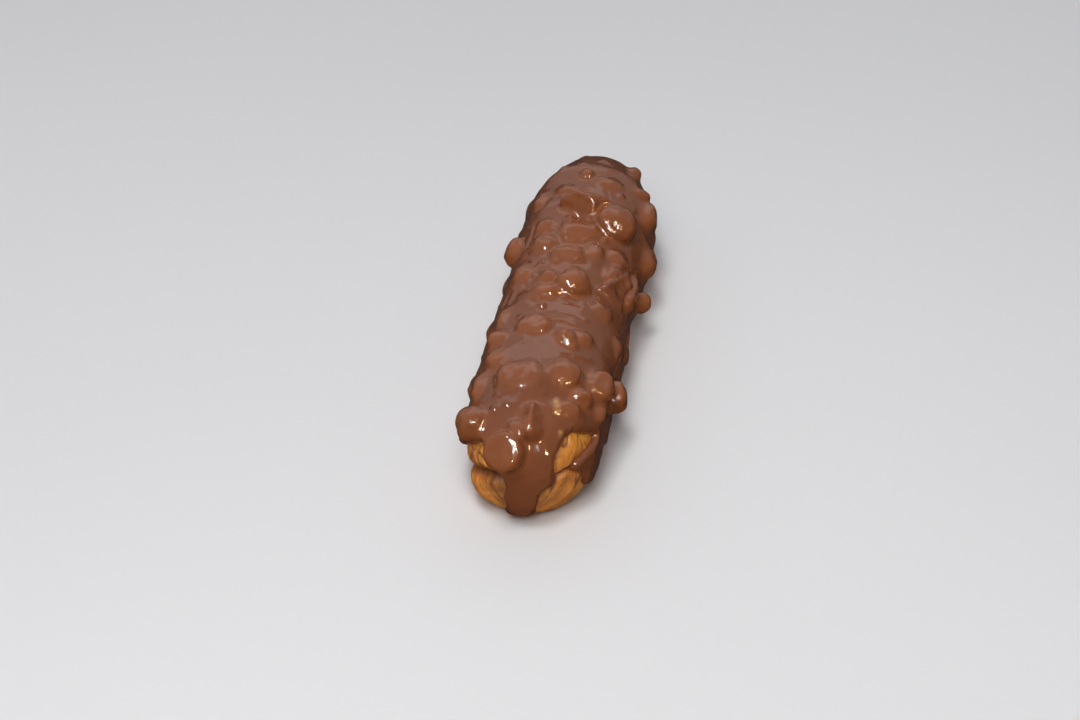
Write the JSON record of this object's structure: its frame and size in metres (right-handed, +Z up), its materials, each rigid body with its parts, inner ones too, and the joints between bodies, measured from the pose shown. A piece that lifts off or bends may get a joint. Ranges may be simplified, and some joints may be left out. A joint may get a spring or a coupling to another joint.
{
  "type": "eclair",
  "caption": "Hazelnut rocher eclair: a long choux bun coated in glossy milk chocolate over chopped and whole hazelnuts, bare golden choux at one end.",
  "frame": {"origin": "on the flat base the bun rests on, at the middle of its length and width", "axes": "+X along the eclair from its bare choux end to its tapered, fully glazed end, +Y across it, +Z up"},
  "size_m": [0.1506, 0.0448, 0.0365],
  "materials": {
    "choux": "baked golden brown crust, dry and finely ridged",
    "milk_chocolate": "glossy set milk chocolate glaze",
    "hazelnut": "pale chopped hazelnut, matte"
  },
  "bodies": {
    "root": {"chocolate_glaze": "milk_chocolate", "choux_bun": "choux", "hazelnut_chip_05": "hazelnut", "hazelnut_chip_06": "hazelnut", "hazelnut_chip_09": "hazelnut", "hazelnut_chip_12": "hazelnut", "hazelnut_chip_13": "hazelnut", "hazelnut_chip_17": "hazelnut", "hazelnut_chip_21": "hazelnut", "hazelnut_chip_24": "hazelnut", "hazelnut_chip_29": "hazelnut", "hazelnut_chip_30": "hazelnut", "hazelnut_chip_31": "hazelnut", "hazelnut_chip_33": "hazelnut", "hazelnut_chip_34": "hazelnut", "hazelnut_chip_42": "hazelnut", "hazelnut_chip_43": "hazelnut", "hazelnut_chip_44": "hazelnut", "hazelnut_chip_46": "hazelnut", "hazelnut_chip_49": "hazelnut", "hazelnut_chip_51": "hazelnut", "hazelnut_half_01": "hazelnut", "hazelnut_half_02": "hazelnut", "hazelnut_half_07": "hazelnut", "hazelnut_half_08": "hazelnut", "hazelnut_half_11": "hazelnut", "hazelnut_half_14": "hazelnut", "hazelnut_half_15": "hazelnut", "hazelnut_half_16": "hazelnut", "hazelnut_half_20": "hazelnut", "hazelnut_half_22": "hazelnut", "hazelnut_half_25": "hazelnut", "hazelnut_half_28": "hazelnut", "hazelnut_half_32": "hazelnut", "hazelnut_half_35": "hazelnut", "hazelnut_half_37": "hazelnut", "hazelnut_half_38": "hazelnut", "hazelnut_half_40": "hazelnut", "hazelnut_half_41": "hazelnut", "hazelnut_half_45": "hazelnut", "hazelnut_half_48": "hazelnut", "hazelnut_half_50": "hazelnut", "hazelnut_half_52": "hazelnut", "hazelnut_quarter_03": "hazelnut", "hazelnut_quarter_10": "hazelnut", "hazelnut_quarter_18": "hazelnut", "hazelnut_quarter_27": "hazelnut", "hazelnut_quarter_36": "hazelnut", "hazelnut_quarter_39": "hazelnut", "hazelnut_quarter_47": "hazelnut", "hazelnut_slice_04": "hazelnut", "hazelnut_slice_23": "hazelnut", "hazelnut_whole_19": "hazelnut", "hazelnut_whole_26": "hazelnut"}
  },
  "joints": []
}
